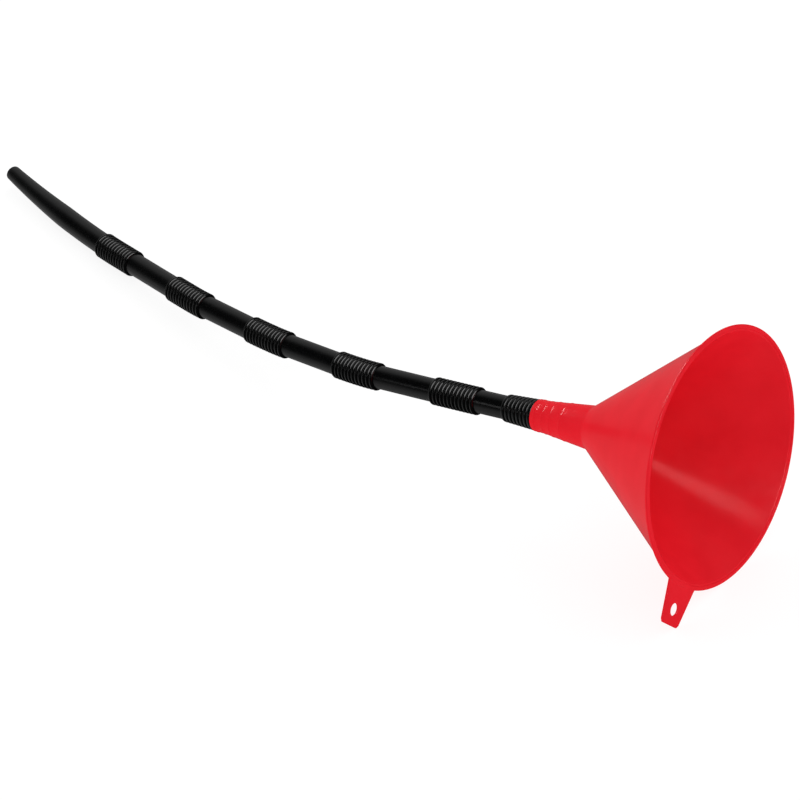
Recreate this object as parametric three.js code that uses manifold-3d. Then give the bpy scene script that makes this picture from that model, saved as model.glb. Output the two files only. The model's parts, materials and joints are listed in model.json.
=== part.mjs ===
// A filling funnel that lies on a bench: a one-piece bowl with a hang tab, and a flexible spout pushed
// over the barbed nipple at the foot of the bowl's neck. The spout is plain tube with five bellows in
// it, and each bellows is a stretch that bends sideways, a stiff link, and a stretch that bends up.
// Millimetres, +Z up. The mouth looks along +X, and the origin is under the middle of the whole funnel.
import * as THREE from "three";
import { mergeVertices } from "three/addons/utils/BufferGeometryUtils.js";
import Module from "manifold-3d";

const wasm = await Module();
wasm.setup();

// Driving dimensions. Every piece is drawn from x = 0 towards -X, along its own axis.
const GAP = 0.3; // kept between neighbouring pieces
const TILT = THREE.MathUtils.degToRad(10.1); // of the bowl's axis, as the funnel lies

const RIM_RADIUS = 76;
const LIP_LENGTH = 1.4; // the thin flange round the mouth, along the axis
const LIP_STEP = 2.1; // how far the lip stands out from the cone
const WALL = 1.8;
const CONE_LENGTH = 87.4;
const NECK_LENGTH = 38.8;
const NECK_TOP_RADIUS = 13.1;
const NECK_FOOT_RADIUS = 9.5;
const NECK_FOOT_LENGTH = 6.3; // the straight stretch above the shoulder

const NIPPLE_LENGTH = 15;
const NIPPLE_RADIUS = 6;
const NIPPLE_BORE = 4.8;
const BARB_STEP = 0.5;
const BARB_COUNT = 3;

const TAB_ANGLE = THREE.MathUtils.degToRad(44.32); // round the rim from its lowest point, towards -Y
const TAB_ROOT_WIDTH = 29.1;
const TAB_END_WIDTH = 19.5;
const TAB_REACH = 98.4; // from the bowl's axis to the tab's end
const TAB_CHAMFER = 1.7;
const TAB_THICKNESS = 1.1;
const TAB_SETBACK = 0.15; // behind the rim's face
const TAB_HOLE_RADIUS = 3.65;
const TAB_HOLE_REACH = 89.2;

const TUBE_RADIUS = 7;
const TUBE_BORE = 5.8;
const RING_RADIUS = 8.4;
const RING_PITCH = 2.72;
const RING_FLAT = 0.4; // share of the pitch that is crest
const FLEX_RINGS = 4; // in each of a bellows' two bending stretches
const LINK_RINGS = 2; // in the stiff link between them
const BELLOWS_COUNT = 5;

const COLLAR_RINGS = 8;
const COLLAR_PITCH = 2.7;
const COLLAR_TOP_RADIUS = 9.3;
const COLLAR_FOOT_RADIUS = 8.2;
const COLLAR_GROOVE = 0.6;
const COLLAR_BORE = NIPPLE_RADIUS + BARB_STEP + GAP;

const FIRST_TUBE_LENGTH = 20; // plain tube between the collar and the first bellows
const TUBE_LENGTH = 41.5; // plain tube between two bellows
const TIP_PLAIN_LENGTH = 44;
const TIP_TAPER_LENGTH = 64.2;
const TIP_END_RADIUS = 4.95;
const TIP_END_BORE = 3.75;
const TIP_STEPS = 10;

// How the spout lies: degrees that it turns in each bellows, and over the length of the tip.
const SIDEWAYS = [0.6, 5, 4.3, 4.4, 0];
const UPWARDS = [0.2, 2.91, 2.2, 0.6, 2.6];
const TIP_SIDEWAYS = 5.9;
const TIP_UPWARDS = 2.8;

const BOWL_SIDES = 64;
const SPOUT_SIDES = 16;
const HOLE_SIDES = 20;

const red = new THREE.MeshStandardMaterial({ color: 0xdc1c26, roughness: 0.32, metalness: 0 });
const black = new THREE.MeshStandardMaterial({ color: 0x101214, roughness: 0.4, metalness: 0 });

// Turns a closed outline of (radius, distance) points into a solid whose axis runs towards -X.
function revolved(outline, sides) {
  const points = outline.map(([radius, distance]) => new THREE.Vector2(radius, distance));
  points.push(points[0].clone());
  return new THREE.LatheGeometry(points, sides).rotateZ(Math.PI / 2);
}

function named(name, geometry, material) {
  const mesh = new THREE.Mesh(geometry, material);
  mesh.name = name;
  return mesh;
}

function solid(geometry) {
  const bare = geometry.clone();
  bare.deleteAttribute("normal");
  bare.deleteAttribute("uv");
  const merged = mergeVertices(bare, 1e-4);
  return new wasm.Manifold(
    new wasm.Mesh({
      numProp: 3,
      vertProperties: merged.attributes.position.array,
      triVerts: new Uint32Array(merged.index.array),
    }),
  );
}

function geometryOf(manifold) {
  const made = manifold.getMesh();
  const geometry = new THREE.BufferGeometry();
  geometry.setAttribute("position", new THREE.BufferAttribute(made.vertProperties, made.numProp));
  geometry.setIndex(new THREE.BufferAttribute(made.triVerts, 1));
  geometry.computeVertexNormals();
  return geometry;
}

// The bowl's outside runs from the lip down the cone and the neck to the barbed nipple, and its inside
// runs back up the bore to the mouth.
function bowlOutline() {
  const shoulder = CONE_LENGTH + NECK_LENGTH;
  const coneRadius = RIM_RADIUS - LIP_STEP;
  const slope = (coneRadius - NECK_TOP_RADIUS) / (CONE_LENGTH - LIP_LENGTH);
  const skin = WALL / Math.cos(Math.atan(slope)); // the wall measured square to the axis
  const outline = [
    [RIM_RADIUS, 0],
    [RIM_RADIUS, LIP_LENGTH],
    [coneRadius, LIP_LENGTH],
    [NECK_TOP_RADIUS, CONE_LENGTH],
    [NECK_FOOT_RADIUS, shoulder - NECK_FOOT_LENGTH],
    [NECK_FOOT_RADIUS, shoulder],
    [NIPPLE_RADIUS, shoulder],
  ];
  const barbPitch = NIPPLE_LENGTH / (BARB_COUNT + 1);
  for (let barb = 1; barb <= BARB_COUNT; barb += 1) {
    const crest = shoulder + barb * barbPitch;
    outline.push([NIPPLE_RADIUS, crest]);
    outline.push([NIPPLE_RADIUS + BARB_STEP, crest]);
  }
  outline.push([NIPPLE_RADIUS, shoulder + NIPPLE_LENGTH]);
  outline.push([NIPPLE_BORE, shoulder + NIPPLE_LENGTH]);
  outline.push([NIPPLE_BORE, shoulder]);
  outline.push([NECK_FOOT_RADIUS - WALL, shoulder - NECK_FOOT_LENGTH]);
  outline.push([NECK_TOP_RADIUS - WALL, CONE_LENGTH]);
  outline.push([coneRadius - skin + LIP_LENGTH * slope, 0]);
  return outline;
}

// The hang tab: a flat plate that narrows from the lip to its chamfered end, with a round hole.
function tabPlate() {
  const rootReach = RIM_RADIUS - LIP_STEP;
  const plate = new THREE.Shape();
  plate.moveTo(-TAB_ROOT_WIDTH / 2, rootReach);
  plate.lineTo(TAB_ROOT_WIDTH / 2, rootReach);
  plate.lineTo(TAB_END_WIDTH / 2, TAB_REACH - TAB_CHAMFER);
  plate.lineTo(TAB_END_WIDTH / 2 - TAB_CHAMFER, TAB_REACH);
  plate.lineTo(TAB_CHAMFER - TAB_END_WIDTH / 2, TAB_REACH);
  plate.lineTo(-TAB_END_WIDTH / 2, TAB_REACH - TAB_CHAMFER);
  plate.closePath();
  const hole = new THREE.Path();
  hole.absarc(0, TAB_HOLE_REACH, TAB_HOLE_RADIUS, 0, 2 * Math.PI, true);
  plate.holes.push(hole);
  const drawn = { depth: TAB_THICKNESS, bevelEnabled: false, curveSegments: HOLE_SIDES / 2 };
  return new THREE.ExtrudeGeometry(plate, drawn)
    .rotateY(-Math.PI / 2)
    .translate(-TAB_SETBACK, 0, 0)
    .rotateX(-Math.PI / 2) // now it hangs straight down
    .rotateX(-TAB_ANGLE);
}

function bowl() {
  const shell = solid(revolved(bowlOutline(), BOWL_SIDES));
  return named("bowl", geometryOf(shell.add(solid(tabPlate()))), red);
}

// Where a length of spout that turns by `turn` about `axis` has got to after `distance`.
function onArc(distance, length, turn, axis) {
  const angle = (turn * distance) / length;
  const inward = axis.clone().cross(new THREE.Vector3(-1, 0, 0));
  const centre = turn === 0
    ? new THREE.Vector3(-distance, 0, 0)
    : new THREE.Vector3(-Math.sin(angle), 0, 0)
        .addScaledVector(inward, 1 - Math.cos(angle))
        .multiplyScalar(length / turn);
  return { centre, heading: new THREE.Quaternion().setFromAxisAngle(axis, angle) };
}

function bent(geometry, length, turn, axis) {
  const position = geometry.getAttribute("position");
  const point = new THREE.Vector3();
  for (let i = 0; i < position.count; i += 1) {
    point.fromBufferAttribute(position, i);
    const { centre, heading } = onArc(-point.x, length, turn, axis);
    point.setX(0).applyQuaternion(heading).add(centre);
    position.setXYZ(i, point.x, point.y, point.z);
  }
  geometry.computeVertexNormals();
  return geometry;
}

// Adds a length of spout at `end`, and returns the frame at its far end, for the next one.
function extend(end, name, outline, length, sideways = 0, upwards = 0) {
  const turn = THREE.MathUtils.degToRad(Math.hypot(sideways, upwards));
  const axis = turn === 0
    ? new THREE.Vector3(0, 1, 0)
    : new THREE.Vector3(0, upwards, -sideways).normalize();
  end.add(named(name, bent(revolved(outline, SPOUT_SIDES), length, turn, axis), black));
  const { centre, heading } = onArc(length, length, turn, axis);
  const next = new THREE.Group();
  next.position.copy(centre);
  next.quaternion.copy(heading);
  end.add(next);
  return next;
}

// The outside of rings in a row from `start`: up to each crest, along it, and down to the next trough.
function ringPoints(start, count, pitch, crestAt, depth) {
  const points = [];
  for (let ring = 0; ring < count; ring += 1) {
    const middle = start + (ring + 0.5) * pitch;
    const crest = crestAt(middle);
    const half = (RING_FLAT / 2) * pitch;
    points.push([crest, middle - half], [crest, middle + half]);
    points.push([crest - depth, start + (ring + 1) * pitch]);
  }
  return points;
}

function bellowsRings(start, count) {
  return ringPoints(start, count, RING_PITCH, () => RING_RADIUS, RING_RADIUS - TUBE_RADIUS);
}

// Closes the outside of a piece with its inside, and leaves half the gap at each end.
function hollow(outside, inside, length) {
  return [...outside, ...inside.toReversed()].map(([radius, distance]) => [
    radius,
    THREE.MathUtils.clamp(distance, GAP / 2, length - GAP / 2),
  ]);
}

function tubeBore(length) {
  return [
    [TUBE_BORE, 0],
    [TUBE_BORE, length],
  ];
}

function addCollar(end) {
  const length = COLLAR_RINGS * COLLAR_PITCH;
  const crestAt = (distance) =>
    THREE.MathUtils.mapLinear(distance, 0, length, COLLAR_TOP_RADIUS, COLLAR_FOOT_RADIUS);
  const outside = [
    [crestAt(0) - COLLAR_GROOVE, 0],
    ...ringPoints(0, COLLAR_RINGS, COLLAR_PITCH, crestAt, COLLAR_GROOVE),
  ];
  const socket = NIPPLE_LENGTH + 2 * GAP;
  const inside = [
    [COLLAR_BORE, 0],
    [COLLAR_BORE, socket],
    [TUBE_BORE, socket],
    [TUBE_BORE, length],
  ];
  return extend(end, "spout_collar", hollow(outside, inside, length), length);
}

// Plain tube with the last ring of one bellows before it, and the first ring of the next one after it.
function addTube(end, number, plain) {
  const before = number === 1 ? 0 : RING_PITCH;
  const length = before + plain + RING_PITCH;
  const outside = [[TUBE_RADIUS, 0]];
  if (before > 0) outside.push(...bellowsRings(0, 1));
  outside.push([TUBE_RADIUS, before + plain], ...bellowsRings(before + plain, 1));
  const outline = hollow(outside, tubeBore(length), length);
  return extend(end, `spout_tube_${number}`, outline, length);
}

function addRings(end, name, count, sideways, upwards) {
  const length = count * RING_PITCH;
  const outside = [[TUBE_RADIUS, 0], ...bellowsRings(0, count)];
  const outline = hollow(outside, tubeBore(length), length);
  return extend(end, name, outline, length, sideways, upwards);
}

function addBellows(end, number) {
  const name = `bellows_${number}`;
  const flexed = addRings(end, `${name}_side_flex`, FLEX_RINGS, SIDEWAYS[number - 1], 0);
  const linked = addRings(flexed, `${name}_link`, LINK_RINGS, 0, 0);
  return addRings(linked, `${name}_lift_flex`, FLEX_RINGS, 0, UPWARDS[number - 1]);
}

// The last ring of the last bellows, plain tube, and the long taper to the open end.
function addTip(end) {
  const taperStart = RING_PITCH + TIP_PLAIN_LENGTH;
  const length = taperStart + TIP_TAPER_LENGTH;
  const outside = [[TUBE_RADIUS, 0], ...bellowsRings(0, 1)];
  const inside = [[TUBE_BORE, 0]];
  for (let step = 1; step <= TIP_STEPS; step += 1) {
    const distance = THREE.MathUtils.lerp(RING_PITCH, length, step / TIP_STEPS);
    const share = Math.max(0, (distance - taperStart) / TIP_TAPER_LENGTH);
    outside.push([THREE.MathUtils.lerp(TUBE_RADIUS, TIP_END_RADIUS, share), distance]);
    inside.push([THREE.MathUtils.lerp(TUBE_BORE, TIP_END_BORE, share), distance]);
  }
  const outline = hollow(outside, inside, length);
  return extend(end, "spout_tip", outline, length, TIP_SIDEWAYS, TIP_UPWARDS);
}

// The funnel in its own frame, with the rim's face at x = 0, turned as it lies.
const lying = new THREE.Group();
lying.rotation.y = -TILT;
lying.add(bowl());

const shoulder = new THREE.Group();
shoulder.position.x = -CONE_LENGTH - NECK_LENGTH;
lying.add(shoulder);

let end = addCollar(shoulder);
for (let number = 1; number <= BELLOWS_COUNT; number += 1) {
  end = addTube(end, number, number === 1 ? FIRST_TUBE_LENGTH : TUBE_LENGTH);
  end = addBellows(end, number);
}
addTip(end);

// Sets the whole funnel down on z = 0, over the origin.
const funnel = new THREE.Group();
funnel.add(lying);
const box = new THREE.Box3().setFromObject(funnel, true);
const middle = box.getCenter(new THREE.Vector3());
lying.position.set(-middle.x, -middle.y, -box.min.z);

export default funnel;
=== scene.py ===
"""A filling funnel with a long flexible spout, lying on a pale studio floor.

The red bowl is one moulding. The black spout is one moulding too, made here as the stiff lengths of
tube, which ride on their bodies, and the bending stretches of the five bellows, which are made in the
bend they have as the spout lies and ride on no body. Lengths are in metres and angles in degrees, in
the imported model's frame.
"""

import json
import math

import bmesh
import bpy
from mathutils import Matrix, Vector

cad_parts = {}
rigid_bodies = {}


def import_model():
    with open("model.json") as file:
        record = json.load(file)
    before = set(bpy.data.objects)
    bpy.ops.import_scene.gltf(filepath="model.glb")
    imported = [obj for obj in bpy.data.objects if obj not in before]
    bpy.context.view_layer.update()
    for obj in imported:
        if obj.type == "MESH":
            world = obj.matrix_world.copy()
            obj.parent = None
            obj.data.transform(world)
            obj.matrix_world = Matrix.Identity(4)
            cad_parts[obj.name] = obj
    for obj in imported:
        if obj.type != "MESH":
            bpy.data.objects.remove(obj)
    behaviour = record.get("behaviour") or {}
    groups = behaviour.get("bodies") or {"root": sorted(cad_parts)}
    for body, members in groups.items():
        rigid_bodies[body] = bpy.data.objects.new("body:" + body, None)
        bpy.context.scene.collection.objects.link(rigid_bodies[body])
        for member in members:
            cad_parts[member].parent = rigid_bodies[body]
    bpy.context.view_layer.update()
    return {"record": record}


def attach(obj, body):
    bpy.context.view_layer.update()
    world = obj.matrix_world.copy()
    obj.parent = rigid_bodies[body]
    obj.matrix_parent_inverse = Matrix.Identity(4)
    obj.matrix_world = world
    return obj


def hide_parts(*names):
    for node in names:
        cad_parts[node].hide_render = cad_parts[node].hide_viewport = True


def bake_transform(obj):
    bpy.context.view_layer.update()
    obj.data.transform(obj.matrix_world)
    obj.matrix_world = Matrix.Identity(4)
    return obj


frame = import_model()
mounts = {mount["name"]: mount for mount in frame["record"]["mounts"]}

# Bowl. Distances run from the rim's face down the axis, and a bore is given as its radius.
RIM_RADIUS = 0.076
RIM_FACE_RADIUS = 0.07434  # where the record's mouth_rim mount sits
LIP_LENGTH = 0.0014  # the thin flange round the mouth
LIP_STEP = 0.0021  # how far the flange stands out from the cone
LEDGE_RADIUS = 0.0737  # the inner edge of the flange's face, above a shallow ledge
LEDGE_DEPTH = 0.00045
LEDGE_LEAN = 0.0002  # how far the ledge's wall leans in, from the face down
WALL = 0.0018
CONE_LENGTH = 0.0874
NECK_LENGTH = 0.0388
NECK_TOP_RADIUS = 0.0131
NECK_FOOT_RADIUS = 0.0095
NECK_FOOT_LENGTH = 0.0063
SHOULDER = CONE_LENGTH + NECK_LENGTH
CONE_ROWS = (0.2, 0.4, 0.6, 0.8)  # shares of the cone's length with a row of points
BEADS = (0.0028, 0.0085, 0.0139, 0.0218)  # how far above the shoulder the neck's fine raised rings are
BEAD_WIDTH = 0.0013
BEAD_HEIGHT = 0.00017
# A bead's section, as shares of its width and height. The mouth's side comes first.
BEAD_SECTION = ((0, 0), (0.1, 0.08), (0.55, 0.92), (0.65, 1), (0.75, 0.92), (0.95, 0.08), (1, 0))

NIPPLE_LENGTH = 0.015
NIPPLE_RADIUS = 0.006
NIPPLE_BORE = 0.0048
BARB_STEP = 0.0005
BARB_COUNT = 3

# Fillet radii in the bowl's section
RIM_FILLET = 0.0005
LIP_FILLET = 0.0004
LIP_ROOT_FILLET = 0.0005
NECK_FILLET = 0.0015
SHOULDER_FILLET = 0.0004
BARB_FILLET = 0.0001
NIPPLE_FILLET = 0.0003
NIPPLE_BORE_FILLET = 0.001
FOOT_BORE_FILLET = 0.002
NECK_BORE_FILLET = 0.003
LEDGE_FILLET = 0.0006
LEDGE_CORNER_FILLET = 0.0001
LEDGE_EDGE_FILLET = 0.0002

TAB_ANGLE = 44.32  # round the rim from its lowest point, towards -Y
TAB_ROOT_WIDTH = 0.0291
TAB_END_WIDTH = 0.0195
TAB_REACH = 0.0984
TAB_CHAMFER = 0.0017
TAB_THICKNESS = 0.0011
TAB_SETBACK = 0.00015  # of the tab's face, behind the rim's
TAB_HOLE_RADIUS = 0.00365
TAB_HOLE_REACH = 0.0892
TAB_EDGE = 0.0003  # the radius of its rounded edges
TAB_FILLET = 0.0014  # in the corners between the tab and the rim
TAB_CORNER_FILLET = 0.0012

# Spout
TUBE_RADIUS = 0.007
TUBE_BORE = 0.0058
RING_RADIUS = 0.0084
RING_PITCH = 0.00272
FLEX_RINGS = 4  # in each of a bellows' two bending stretches
LINK_RINGS = 2  # in the stiff stretch between them
BELLOWS_COUNT = 5
COLLAR_RINGS = 8
COLLAR_PITCH = 0.0027
COLLAR_TOP_RADIUS = 0.0093
COLLAR_FOOT_RADIUS = 0.0082
COLLAR_GROOVE = 0.0006
COLLAR_BORE = 0.0068
FIRST_TUBE_LENGTH = 0.02
TUBE_LENGTH = 0.0415
TIP_PLAIN_LENGTH = 0.044
TIP_TAPER_LENGTH = 0.0642
TIP_END_RADIUS = 0.00495
TIP_END_BORE = 0.00375
SIDEWAYS = (0.6, 5, 4.3, 4.4, 0)  # how far the spout turns in each bellows as it lies
UPWARDS = (0.2, 2.91, 2.2, 0.6, 2.6)
TIP_SIDEWAYS = 5.9  # how far the tip itself is curved
TIP_UPWARDS = 2.8
SLIT = 0.00002  # between two pieces of the one black moulding
SEAM_HEIGHT = 0.00007  # of the mould's parting line, along both sides of the plain tubes
SEAM_WIDTH = 0.0005

# How finely the meshes are divided
BOWL_SIDES = 192
SPOUT_SIDES = 72
FILLET_STEPS = 5
RING_STEPS = 9
TAB_ROOT_STEPS = 6  # on each side of the tab's middle
TAB_HOLE_STEPS = 40
TIP_STEPS = 24
TIP_LIP_STEPS = 8
MERGE_DISTANCE = 1e-7
TAB_MERGE_DISTANCE = 1e-6
SHARP_FROM = 40  # the angle between two faces

# Studio
DARK_DIRECTION = (-0.481, -0.663, 0.574)  # azimuth -36, elevation 35
ROOM_LIGHT = 0.68  # as the surfaces see it
# As the gloss sees it: how far round towards the dark direction, from 0 to 1, and the light from there
ROOM_IN_GLOSS = ((0.18, 0.14), (0.45, 0.34), (0.7, 0.34), (0.95, 0))
GLOSS_FADE = (-0.45, -0.2)  # the X of a direction where that light starts to fade, and where it has faded
GLOSS_LEFT = 0.03  # the share of it that is left then
FLOOR_REACH = 6
FLOOR_DROP = 0.0002
FLOOR_GREY = 0.2
FLOOR_GLOW = 0.86
LIGHTS_TARGET = (0, 0, 0.05)
VIEW_AZIMUTH = 36
VIEW_ELEVATION = 35
VIEW_DISTANCE = 2.245
VIEW_LEFT = 0.1804  # of the rim's centre
VIEW_ABOVE = 0.0325
LENS = 180.7  # millimetres, as is the sensor
SENSOR_WIDTH = 36


# Outlines

def fillet(corner, before, after, radius):
    """The points of an arc in a corner, between the directions to the corners before and after it."""
    half = before.angle(after) / 2
    reach = radius / math.tan(half)
    start = corner + before.normalized() * reach
    end = corner + after.normalized() * reach
    inward = (before.normalized() + after.normalized()).normalized()
    centre = corner + inward * radius / math.sin(half)
    points = []
    for step in range(FILLET_STEPS + 1):
        spoke = (start - centre).lerp(end - centre, step / FILLET_STEPS).normalized() * radius
        points.append(tuple(centre + spoke))
    return points


def rounded(corners):
    """The closed outline through (x, y, fillet radius) corners, with each fillet drawn as an arc."""
    points = []
    for index, (x, y, radius) in enumerate(corners):
        if radius == 0:
            points.append((x, y))
            continue
        corner = Vector((x, y))
        before = Vector(corners[index - 1][:2]) - corner
        after = Vector(corners[(index + 1) % len(corners)][:2]) - corner
        points += fillet(corner, before, after, radius)
    return points


def ring_points(start, count, pitch, crest_at, depth):
    """Rings in a row: each rises steeply from its trough to a rounded crest and falls back."""
    points = []
    for ring in range(count):
        for step in range(1, RING_STEPS + 1):
            share = (1 - math.cos(math.pi * step / RING_STEPS)) / 2
            distance = start + (ring + share) * pitch
            rise = (1 - (2 * share - 1) ** 2) ** 0.5
            points.append((crest_at(distance) - depth * (1 - rise), distance))
    return points


def bellows_rings(start, count):
    depth = RING_RADIUS - TUBE_RADIUS
    return ring_points(start, count, RING_PITCH, lambda distance: RING_RADIUS, depth)


def hollow(outside, inside, length):
    """Closes an outside with its inside, and leaves a slit to the next piece at each end."""
    points = outside + inside[::-1]
    return [(radius, min(max(distance, SLIT), length - SLIT)) for radius, distance in points]


def straight(radius, start, end, steps):
    """Evenly spaced points of a plain tube, which let it shade evenly."""
    return [(radius, start + (end - start) * step / steps) for step in range(steps + 1)]


# Paths

def straight_on(start):
    """A straight path along -X from a frame: it turns a distance into the frame of the section there."""
    return lambda distance: start @ Matrix.Translation((-distance, 0, 0))


def along(start, length, sideways, upwards):
    """A path like straight_on's that turns evenly by the given degrees over its length."""
    turn = math.radians(math.hypot(sideways, upwards))
    if turn == 0:
        return straight_on(start)
    axis = Vector((0, upwards, -sideways)).normalized()
    inward = axis.cross(Vector((-1, 0, 0)))
    bend_radius = length / turn

    def section(distance):
        angle = distance / bend_radius
        centre = Vector((-math.sin(angle), 0, 0)) + inward * (1 - math.cos(angle))
        return start @ Matrix.Translation(centre * bend_radius) @ Matrix.Rotation(angle, 4, axis)

    return section


def bowl_frame():
    """The bowl's own frame: +X out of the mouth, the origin at the centre of the rim's face."""
    axis = Vector(mounts["mouth_rim"]["axis"])
    up = Vector((-axis.z, 0, axis.x))
    centre = Vector(mounts["mouth_rim"]["pos_m"]) - up * RIM_FACE_RADIUS
    turned = Matrix((axis, (0, 1, 0), up)).transposed().to_4x4()
    return Matrix.Translation(centre) @ turned


# Meshes

def swept(name, outline, section, sides, seam=0):
    """A closed solid: the outline turned round the path, with an optional seam line on both sides."""
    points = []
    for radius, distance in outline:
        place = section(distance)
        for side in range(sides):
            angle = 2 * math.pi * side / sides
            off_seam = abs(math.cos(angle)) * radius / SEAM_WIDTH
            raised = radius + seam * max(0, 1 - off_seam)
            points.append(place @ Vector((0, raised * math.sin(angle), raised * math.cos(angle))))
    faces = []
    for row in range(len(outline)):
        following = (row + 1) % len(outline)
        for side in range(sides):
            turned = (side + 1) % sides
            faces.append((row * sides + side, row * sides + turned, following * sides + turned,
                          following * sides + side))
    return piece_from(name, points, faces)


def clean(mesh, merge_distance):
    """Merges the points that coincide, and turns every face outwards."""
    work = bmesh.new()
    work.from_mesh(mesh)
    bmesh.ops.remove_doubles(work, verts=work.verts, dist=merge_distance)
    bmesh.ops.recalc_face_normals(work, faces=work.faces)
    work.to_mesh(mesh)
    work.free()


def piece_from(name, points, faces):
    mesh = bpy.data.meshes.new(name)
    mesh.from_pydata(points, [], faces)
    clean(mesh, MERGE_DISTANCE)
    piece = bpy.data.objects.new(name, mesh)
    bpy.context.collection.objects.link(piece)
    return piece


def smooth(piece):
    piece.data.shade_smooth()
    piece.data.set_sharp_from_angle(angle=math.radians(SHARP_FROM))


def dress(piece, material):
    piece.data.materials.append(material)


# Bowl

def neck_radius(distance):
    """The neck's outside: a taper from the cone, then a straight foot down to the shoulder."""
    share = (distance - CONE_LENGTH) / (NECK_LENGTH - NECK_FOOT_LENGTH)
    return NECK_TOP_RADIUS + (NECK_FOOT_RADIUS - NECK_TOP_RADIUS) * min(share, 1)


def bead_corners(distance):
    """A low bead on the neck, which slopes up from the mouth's side and drops more steeply."""
    corners = []
    for share, rise in BEAD_SECTION:
        here = distance + (share - 0.5) * BEAD_WIDTH
        corners.append((neck_radius(here) + BEAD_HEIGHT * rise, here, 0))
    return corners


def cone_corners(lip_radius, slope):
    """Rows of points down the cone, from a radius at the flange's back."""
    corners = []
    for share in CONE_ROWS:
        distance = LIP_LENGTH + (CONE_LENGTH - LIP_LENGTH) * share
        corners.append((lip_radius - slope * (distance - LIP_LENGTH), distance, 0))
    return corners


def bowl_outside(lip_radius, slope):
    """The flange, the cone, and the neck with its beads."""
    corners = [
        (RIM_RADIUS, 0, RIM_FILLET),
        (RIM_RADIUS, LIP_LENGTH, LIP_FILLET),
        (lip_radius, LIP_LENGTH, LIP_ROOT_FILLET),
    ]
    corners += cone_corners(lip_radius, slope)
    corners.append((NECK_TOP_RADIUS, CONE_LENGTH, NECK_FILLET))
    for distance in reversed(BEADS):
        corners += bead_corners(SHOULDER - distance)
    corners.append((NECK_FOOT_RADIUS, SHOULDER, SHOULDER_FILLET))
    return corners


def nipple_corners():
    """The nipple, with its barbs outside and its bore inside."""
    corners = [(NIPPLE_RADIUS, SHOULDER, 0)]
    barb_pitch = NIPPLE_LENGTH / (BARB_COUNT + 1)
    for barb in range(1, BARB_COUNT + 1):
        crest = SHOULDER + barb * barb_pitch
        corners += [(NIPPLE_RADIUS, crest, 0), (NIPPLE_RADIUS + BARB_STEP, crest, BARB_FILLET)]
    corners += [
        (NIPPLE_RADIUS, SHOULDER + NIPPLE_LENGTH, NIPPLE_FILLET),
        (NIPPLE_BORE, SHOULDER + NIPPLE_LENGTH, NIPPLE_FILLET),
        (NIPPLE_BORE, SHOULDER, NIPPLE_BORE_FILLET),
    ]
    return corners


def bowl_inside(lip_radius, slope):
    """The inside of the neck and the cone, and the shallow ledge in the flange's face."""
    corners = [
        (NECK_FOOT_RADIUS - WALL, SHOULDER - NECK_FOOT_LENGTH, FOOT_BORE_FILLET),
        (NECK_TOP_RADIUS - WALL, CONE_LENGTH, NECK_BORE_FILLET),
    ]
    corners += cone_corners(lip_radius, slope)[::-1]
    corners += [
        (lip_radius + slope * (LIP_LENGTH - LEDGE_DEPTH), LEDGE_DEPTH, LEDGE_FILLET),
        (LEDGE_RADIUS - LEDGE_LEAN, LEDGE_DEPTH, LEDGE_CORNER_FILLET),
        (LEDGE_RADIUS, 0, LEDGE_EDGE_FILLET),
    ]
    return corners


def bowl_corners():
    """The bowl's section, as (radius, distance, fillet radius): down the outside and up the inside."""
    lip_radius = RIM_RADIUS - LIP_STEP
    slope = (lip_radius - NECK_TOP_RADIUS) / (CONE_LENGTH - LIP_LENGTH)
    skin = WALL * math.hypot(1, slope)
    return bowl_outside(lip_radius, slope) + nipple_corners() + bowl_inside(lip_radius - skin, slope)


def tab_edge():
    """The hang tab's edge, drawn along +Y: a root hidden in the flange, and the free end."""
    half_root = TAB_ROOT_WIDTH / 2
    half_end = TAB_END_WIDTH / 2
    corner = math.sqrt(RIM_RADIUS ** 2 - half_root ** 2) + TAB_FILLET / 2
    root_radius = RIM_RADIUS - LIP_STEP / 2
    outline = []
    for step in range(-TAB_ROOT_STEPS, TAB_ROOT_STEPS + 1):
        angle = (half_root + TAB_FILLET) / RIM_RADIUS * step / TAB_ROOT_STEPS
        outline.append((root_radius * math.sin(angle), root_radius * math.cos(angle), 0))
    outline += [
        (half_root, corner, TAB_FILLET),
        (half_end, TAB_REACH - TAB_CHAMFER, TAB_CORNER_FILLET),
        (half_end - TAB_CHAMFER, TAB_REACH, TAB_CORNER_FILLET),
        (TAB_CHAMFER - half_end, TAB_REACH, TAB_CORNER_FILLET),
        (-half_end, TAB_REACH - TAB_CHAMFER, TAB_CORNER_FILLET),
        (-half_root, corner, TAB_FILLET),
    ]
    return rounded(outline)


def tab_hole():
    hole = []
    for step in range(TAB_HOLE_STEPS):
        angle = 2 * math.pi * step / TAB_HOLE_STEPS
        x = TAB_HOLE_RADIUS * math.cos(angle)
        y = TAB_HOLE_REACH + TAB_HOLE_RADIUS * math.sin(angle)
        hole.append((x, y))
    return hole


def plate(name, loops, thickness, edge):
    """A flat plate with rounded edges, round the first loop and round the hole in each other loop."""
    curve = bpy.data.curves.new(name, "CURVE")
    curve.dimensions = "2D"
    curve.fill_mode = "BOTH"
    curve.extrude = thickness / 2 - edge
    curve.bevel_depth = edge
    curve.bevel_resolution = 3
    curve.offset = -edge
    for loop in loops:
        spline = curve.splines.new("POLY")
        spline.points.add(len(loop) - 1)
        spline.use_cyclic_u = True
        for point, (x, y) in zip(spline.points, loop):
            point.co = (x, y, 0, 1)
    drawn = bpy.data.objects.new(name, curve)
    bpy.context.collection.objects.link(drawn)
    mesh = bpy.data.meshes.new_from_object(drawn)
    bpy.data.objects.remove(drawn)
    bpy.data.curves.remove(curve)
    return mesh


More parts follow.
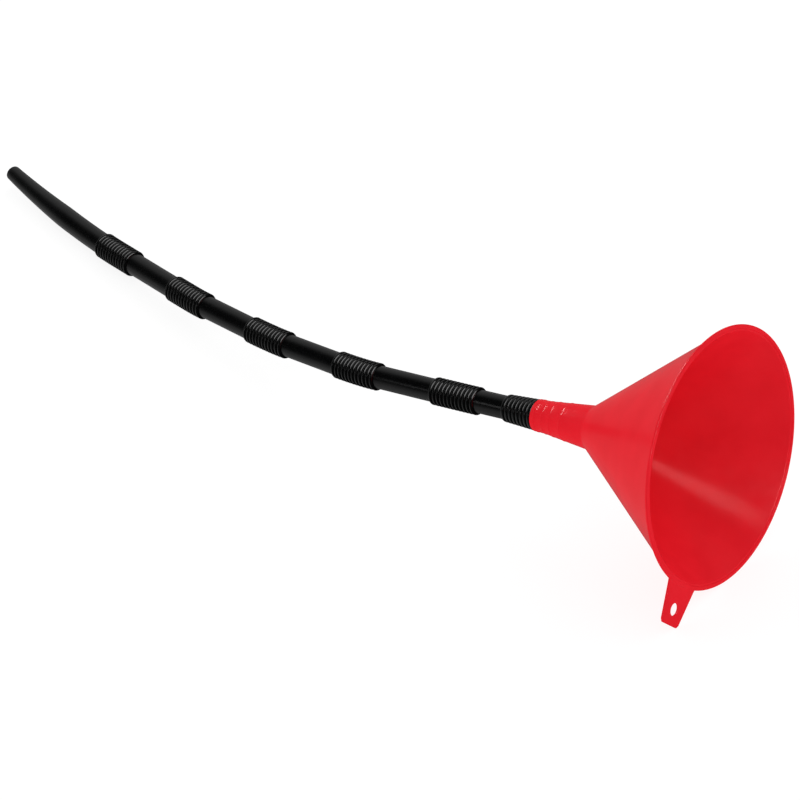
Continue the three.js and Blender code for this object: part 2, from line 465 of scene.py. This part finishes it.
def tab_mesh(place):
    """The tab, turned to face the mouth and hung from the rim at its angle."""
    mesh = plate("tab", (tab_edge(), tab_hole()), TAB_THICKNESS, TAB_EDGE)
    face_on = Matrix.Rotation(math.radians(-90), 4, "Y")
    set_back = Matrix.Translation((-TAB_SETBACK - TAB_THICKNESS / 2, 0, 0))
    hung = Matrix.Rotation(math.radians(-90 - TAB_ANGLE), 4, "X")
    mesh.transform(place @ hung @ set_back @ face_on)
    return mesh


def join(piece, mesh):
    """Adds a second closed mesh to a piece as one solid."""
    clean(mesh, TAB_MERGE_DISTANCE)
    added = bpy.data.objects.new("added", mesh)
    bpy.context.collection.objects.link(added)
    union = piece.modifiers.new("union", "BOOLEAN")
    union.operation = "UNION"
    union.solver = "EXACT"
    union.object = added
    graph = bpy.context.evaluated_depsgraph_get()
    joined = bpy.data.meshes.new_from_object(piece.evaluated_get(graph))
    piece.modifiers.clear()
    piece.data = joined
    bpy.data.objects.remove(added)


def bowl_piece(place, material):
    bowl = swept("bowl_moulding", rounded(bowl_corners()), straight_on(place), BOWL_SIDES)
    join(bowl, tab_mesh(place))
    smooth(bowl)
    dress(bowl, material)
    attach(bowl, "bowl")
    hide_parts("bowl")
    return bowl


# Spout

def spout_piece(name, outline, section, nodes, material, seam=0):
    piece = swept(name, outline, section, SPOUT_SIDES, seam)
    smooth(piece)
    dress(piece, material)
    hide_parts(*nodes)
    return piece


def collar_piece(start, material):
    """The ribbed collar over the nipple, with the short tube and the first ring that follow it."""
    collar = COLLAR_RINGS * COLLAR_PITCH
    length = collar + FIRST_TUBE_LENGTH + RING_PITCH
    section = straight_on(start)

    def crest_at(distance):
        return COLLAR_TOP_RADIUS + (COLLAR_FOOT_RADIUS - COLLAR_TOP_RADIUS) * distance / collar

    outside = [(crest_at(0) - COLLAR_GROOVE, 0)]
    outside += ring_points(0, COLLAR_RINGS, COLLAR_PITCH, crest_at, COLLAR_GROOVE)
    outside += straight(TUBE_RADIUS, collar, collar + FIRST_TUBE_LENGTH, steps=6)
    outside += bellows_rings(collar + FIRST_TUBE_LENGTH, 1)
    socket = NIPPLE_LENGTH + BARB_STEP
    inside = straight(COLLAR_BORE, 0, socket, steps=2) + straight(TUBE_BORE, socket, length, steps=6)
    piece = spout_piece("spout_collar_moulding", hollow(outside, inside, length), section,
                        ("spout_collar", "spout_tube_1"), material)
    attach(piece, "bowl")
    return section(length)


def rings_piece(name, node, count, start, sideways, upwards, material):
    """Some rings of a bellows, and the frames of its two ends."""
    length = count * RING_PITCH
    section = along(start, length, sideways, upwards)
    outside = [(TUBE_RADIUS, 0)] + bellows_rings(0, count)
    outline = hollow(outside, straight(TUBE_BORE, 0, length, steps=3 * count), length)
    piece = spout_piece(name, outline, section, (node,), material)
    return piece, section(0), section(length)


def bellows_pieces(number, start, material):
    """One bellows, between the bodies before and after it: it bends sideways, is stiff, and bends up."""
    node = f"bellows_{number}"
    side, near, far = rings_piece(f"{node}_side_bend", f"{node}_side_flex", FLEX_RINGS, start,
                                  SIDEWAYS[number - 1], 0, material)
    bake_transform(side)
    link, near, far = rings_piece(f"{node}_centre", f"{node}_link", LINK_RINGS, far, 0, 0, material)
    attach(link, node)
    lift, near, far = rings_piece(f"{node}_lift_bend", f"{node}_lift_flex", FLEX_RINGS, far, 0,
                                  UPWARDS[number - 1], material)
    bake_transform(lift)
    return far


def tube_piece(number, start, material):
    """A plain tube between two bellows, with the end ring of each."""
    length = TUBE_LENGTH + 2 * RING_PITCH
    section = straight_on(start)
    outside = [(TUBE_RADIUS, 0)] + bellows_rings(0, 1)
    outside += straight(TUBE_RADIUS, RING_PITCH, RING_PITCH + TUBE_LENGTH, steps=8)
    outside += bellows_rings(RING_PITCH + TUBE_LENGTH, 1)
    outline = hollow(outside, straight(TUBE_BORE, 0, length, steps=8), length)
    node = f"spout_tube_{number}"
    piece = spout_piece(f"{node}_moulding", outline, section, (node,), material, SEAM_HEIGHT)
    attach(piece, node)
    return section(length)


def tip_lip(length):
    """The rounded mouth of the tip, from its outside to its bore."""
    radius = (TIP_END_RADIUS - TIP_END_BORE) / 2
    points = []
    for step in range(TIP_LIP_STEPS + 1):
        angle = math.pi * step / TIP_LIP_STEPS
        across = TIP_END_BORE + radius * (1 + math.cos(angle))
        points.append((across, length - radius * (1 - math.sin(angle))))
    return points


def tip_piece(start, material):
    """The last ring, plain tube, and the taper to the open end."""
    taper = RING_PITCH + TIP_PLAIN_LENGTH
    length = taper + TIP_TAPER_LENGTH
    outside = [(TUBE_RADIUS, 0)] + bellows_rings(0, 1)
    inside = [(TUBE_BORE, 0)]
    for step in range(1, TIP_STEPS):
        distance = RING_PITCH + (length - RING_PITCH) * step / TIP_STEPS
        share = max(0, (distance - taper) / TIP_TAPER_LENGTH)
        outside.append((TUBE_RADIUS + (TIP_END_RADIUS - TUBE_RADIUS) * share, distance))
        inside.append((TUBE_BORE + (TIP_END_BORE - TUBE_BORE) * share, distance))
    outline = hollow(outside + tip_lip(length), inside, length)
    section = along(start, length, TIP_SIDEWAYS, TIP_UPWARDS)
    piece = spout_piece("spout_tip_moulding", outline, section, ("spout_tip",), material, SEAM_HEIGHT)
    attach(piece, "spout_tip")


def spout(shoulder, material):
    """The whole spout, each length of it starting where the one before ends."""
    end = collar_piece(shoulder, material)
    for number in range(1, BELLOWS_COUNT + 1):
        last = number == BELLOWS_COUNT
        end = bellows_pieces(number, end, material)
        if not last:
            end = tube_piece(number + 1, end, material)
    tip_piece(end, material)


# Materials

def noise(nodes, links, place, scale, detail):
    texture = nodes.new("ShaderNodeTexNoise")
    texture.inputs["Scale"].default_value = scale
    texture.inputs["Detail"].default_value = detail
    links.new(place, texture.inputs["Vector"])
    return texture.outputs["Fac"]


def ramp(nodes, links, factor, low, high, lowest=0.3, highest=0.7):
    """A value that runs from low to high as the factor, mostly a noise, runs from lowest to highest."""
    spread = nodes.new("ShaderNodeMapRange")
    spread.inputs["From Min"].default_value = lowest
    spread.inputs["From Max"].default_value = highest
    spread.inputs["To Min"].default_value = low
    spread.inputs["To Max"].default_value = high
    links.new(factor, spread.inputs["Value"])
    return spread.outputs["Result"]


def colour_between(nodes, links, factor, first, second):
    """A mix of two colours. The Mix node has its colours at inputs 6 and 7, and their mix at output 2."""
    mix = nodes.new("ShaderNodeMix")
    mix.data_type = "RGBA"
    mix.inputs[6].default_value = (*first, 1)
    mix.inputs[7].default_value = (*second, 1)
    links.new(factor, mix.inputs["Factor"])
    return mix.outputs[2]


def bump(nodes, links, height, strength, distance, before=None):
    """A bump from a height, on top of the bump before it."""
    made = nodes.new("ShaderNodeBump")
    made.inputs["Strength"].default_value = strength
    made.inputs["Distance"].default_value = distance
    links.new(height, made.inputs["Height"])
    if before is not None:
        links.new(before, made.inputs["Normal"])
    return made.outputs["Normal"]


def plastic(name, colours, roughness, specular, cloud, haze, waves, grain):
    """Polyethylene: its colour and gloss are clouded, and its surface has slow waves and a fine grain.

    cloud and haze hold the scale and detail of a noise. waves and grain hold those, and then the
    strength and distance of a bump.
    """
    material = bpy.data.materials.new(name)
    material.use_nodes = True
    nodes = material.node_tree.nodes
    links = material.node_tree.links
    shader = nodes["Principled BSDF"]
    place = nodes.new("ShaderNodeTexCoord").outputs["Object"]
    clouded = ramp(nodes, links, noise(nodes, links, place, *cloud), 0, 1)
    links.new(colour_between(nodes, links, clouded, *colours), shader.inputs["Base Color"])
    hazed = ramp(nodes, links, noise(nodes, links, place, *haze), *roughness)
    links.new(hazed, shader.inputs["Roughness"])
    wavy = bump(nodes, links, noise(nodes, links, place, *waves[:2]), *waves[2:])
    grainy = bump(nodes, links, noise(nodes, links, place, *grain[:2]), *grain[2:], wavy)
    links.new(grainy, shader.inputs["Normal"])
    shader.inputs["Specular IOR Level"].default_value = specular
    return material


def red_plastic():
    """Glossy and injection-moulded, with an orange peel for its grain."""
    return plastic(
        "red_polyethylene",
        colours=((0.80, 0.0120, 0.0220), (0.86, 0.0150, 0.0265)),
        roughness=(0.17, 0.25),
        specular=0.04,
        cloud=(45, 3),
        haze=(160, 4),
        waves=(60, 2, 0.25, 0.0008),
        grain=(900, 2, 0.12, 0.0001),
    )


def black_plastic():
    """Semi-gloss and blow-moulded, with a faint grain and the haze of handling."""
    return plastic(
        "black_polyethylene",
        colours=((0.0008, 0.0009, 0.0010), (0.0016, 0.0017, 0.0018)),
        roughness=(0.19, 0.26),
        specular=0.5,
        cloud=(90, 4),
        haze=(420, 5),
        waves=(220, 2, 0.2, 0.0003),
        grain=(3200, 2, 0.15, 0.00005),
    )


# Studio

def floor_material():
    """A matt grey that glows, so that it shows as white with soft shadows."""
    material = bpy.data.materials.new("studio_floor")
    material.use_nodes = True
    shader = material.node_tree.nodes["Principled BSDF"]
    shader.inputs["Base Color"].default_value = (FLOOR_GREY, FLOOR_GREY, FLOOR_GREY, 1)
    shader.inputs["Roughness"].default_value = 0.8
    shader.inputs["Specular IOR Level"].default_value = 0
    shader.inputs["Emission Color"].default_value = (1, 1, 1, 1)
    shader.inputs["Emission Strength"].default_value = FLOOR_GLOW
    return material


def studio_floor():
    """The floor, which the gloss doesn't show. It lies just below the part, so that they never coincide."""
    ends = (-FLOOR_REACH, FLOOR_REACH)
    corners = [(ends[0], ends[0], 0), (ends[1], ends[0], 0), (ends[1], ends[1], 0), (ends[0], ends[1], 0)]
    mesh = bpy.data.meshes.new("studio_floor")
    mesh.from_pydata(corners, [], [(0, 1, 2, 3)])
    mesh.materials.append(floor_material())
    floor = bpy.data.objects.new("studio_floor", mesh)
    floor.location.z = -FLOOR_DROP
    floor.visible_glossy = False
    bpy.context.collection.objects.link(floor)


def aimed(direction):
    """The turn that makes a light or a camera face along a direction."""
    return direction.to_track_quat("-Z", "Y")


def soft_light(name, place, size, power, depth=None):
    """A square light, or an oblong one with a depth, that faces the funnel."""
    lamp = bpy.data.lights.new(name, "AREA")
    lamp.size = size
    if depth is not None:
        lamp.shape = "RECTANGLE"
        lamp.size_y = depth
    lamp.energy = power
    light = bpy.data.objects.new(name, lamp)
    light.location = place
    light.rotation_mode = "QUATERNION"
    light.rotation_quaternion = aimed(Vector(LIGHTS_TARGET) - Vector(place))
    bpy.context.collection.objects.link(light)
    return light


def highlight(name, place, size, power, only_on, depth=None):
    """A light that shows only in the gloss of the given pieces."""
    light = soft_light(name, place, size, power, depth)
    light.visible_diffuse = False
    lit = bpy.data.collections.new(name)
    for piece in only_on:
        lit.objects.link(piece)
    light.light_linking.receiver_collection = lit


def fill(name, place, size, power):
    """A light that brightens the surfaces but doesn't show in their gloss."""
    soft_light(name, place, size, power).visible_glossy = False


def dimmed(nodes, links, direction):
    """The room's strength in the gloss: dim, and darkest towards the dark direction."""
    towards_dark = nodes.new("ShaderNodeVectorMath")
    towards_dark.operation = "DOT_PRODUCT"
    towards_dark.inputs[1].default_value = DARK_DIRECTION
    links.new(direction, towards_dark.inputs[0])
    dimmer = nodes.new("ShaderNodeValToRGB")
    dimmer.color_ramp.interpolation = "EASE"
    stops = dimmer.color_ramp.elements
    stops.remove(stops[0])
    for position, grey in ROOM_IN_GLOSS:
        stops.new(position).color = (grey, grey, grey, 1)
    stops.remove(stops[-1])
    links.new(ramp(nodes, links, towards_dark.outputs["Value"], 0, 1, -1, 1), dimmer.inputs["Fac"])
    return dimmer.outputs["Color"]


def faded(nodes, links, direction, strength):
    """The room's strength in the gloss, nearly taken away except from the spout's end of the room."""
    split = nodes.new("ShaderNodeSeparateXYZ")
    links.new(direction, split.inputs["Vector"])
    left = ramp(nodes, links, split.outputs["X"], 1, GLOSS_LEFT, *GLOSS_FADE)
    product = nodes.new("ShaderNodeMath")
    product.operation = "MULTIPLY"
    links.new(strength, product.inputs[0])
    links.new(left, product.inputs[1])
    return product.outputs["Value"]


def room():
    """A white room: even for the surfaces, dimmer in places for the gloss, plain white for the camera."""
    world = bpy.data.worlds.new("studio")
    bpy.context.scene.world = world
    world.use_nodes = True
    nodes = world.node_tree.nodes
    links = world.node_tree.links
    direction = nodes.new("ShaderNodeTexCoord").outputs["Generated"]
    in_gloss = faded(nodes, links, direction, dimmed(nodes, links, direction))
    path = nodes.new("ShaderNodeLightPath")
    strength = nodes.new("ShaderNodeMix")
    strength.inputs["A"].default_value = ROOM_LIGHT
    links.new(path.outputs["Is Glossy Ray"], strength.inputs["Factor"])
    links.new(in_gloss, strength.inputs["B"])
    backdrop = nodes.new("ShaderNodeMix")
    backdrop.inputs["B"].default_value = 1
    links.new(path.outputs["Is Camera Ray"], backdrop.inputs["Factor"])
    links.new(strength.outputs["Result"], backdrop.inputs["A"])
    nodes["Background"].inputs["Color"].default_value = (1, 1, 1, 1)
    links.new(backdrop.outputs["Result"], nodes["Background"].inputs["Strength"])


def studio(bowl, spout_pieces):
    """The room and its lights, with sizes in metres and power in watts."""
    room()
    highlight("overhead", (0.78, -0.08, 1.25), size=0.32, power=4.5, only_on=[bowl])
    highlight("beads", (-0.78, 0, 1.25), size=1.1, power=45, only_on=[bowl], depth=0.3)
    highlight("rim", (1.55, -0.18, 0.75), size=0.8, power=70, only_on=[bowl])
    highlight("front", (-0.91, -1.59, 0.53), size=0.35, power=0.6, only_on=spout_pieces)
    highlight("above_rings", (0.75, -0.15, 1.3), size=1.8, power=24, only_on=spout_pieces, depth=1)
    fill("side", (-1.4, -0.9, 0.9), size=1.2, power=7)
    fill("mouth", (1.1, 1.1, 0.8), size=1.2, power=4.7)
    fill("back", (-0.5, 1.4, 1), size=1.2, power=8)
    bpy.context.scene.view_settings.view_transform = "Standard"


def camera(rim_centre):
    """Looks down on the funnel, with the rim right of the middle of the picture."""
    azimuth = math.radians(VIEW_AZIMUTH)
    elevation = math.radians(VIEW_ELEVATION)
    back = Vector((math.sin(azimuth) * math.cos(elevation), -math.cos(azimuth) * math.cos(elevation),
                   math.sin(elevation)))
    right = Vector((math.cos(azimuth), math.sin(azimuth), 0))
    up = back.cross(right)
    lens = bpy.data.cameras.new("camera")
    lens.sensor_width = SENSOR_WIDTH
    lens.lens = LENS
    lens.clip_start = 0.05
    lens.clip_end = 50
    made = bpy.data.objects.new("camera", lens)
    made.location = rim_centre - right * VIEW_LEFT + up * VIEW_ABOVE + back * VIEW_DISTANCE
    made.rotation_mode = "QUATERNION"
    made.rotation_quaternion = aimed(-back)
    bpy.context.collection.objects.link(made)
    bpy.context.scene.camera = made


place = bowl_frame()
camera(place.translation)
bowl = bowl_piece(place, red_plastic())
earlier = list(bpy.context.collection.objects)
spout(straight_on(place)(SHOULDER), black_plastic())
spout_pieces = [piece for piece in bpy.context.collection.objects if piece not in earlier]
studio_floor()
studio(bowl, spout_pieces)
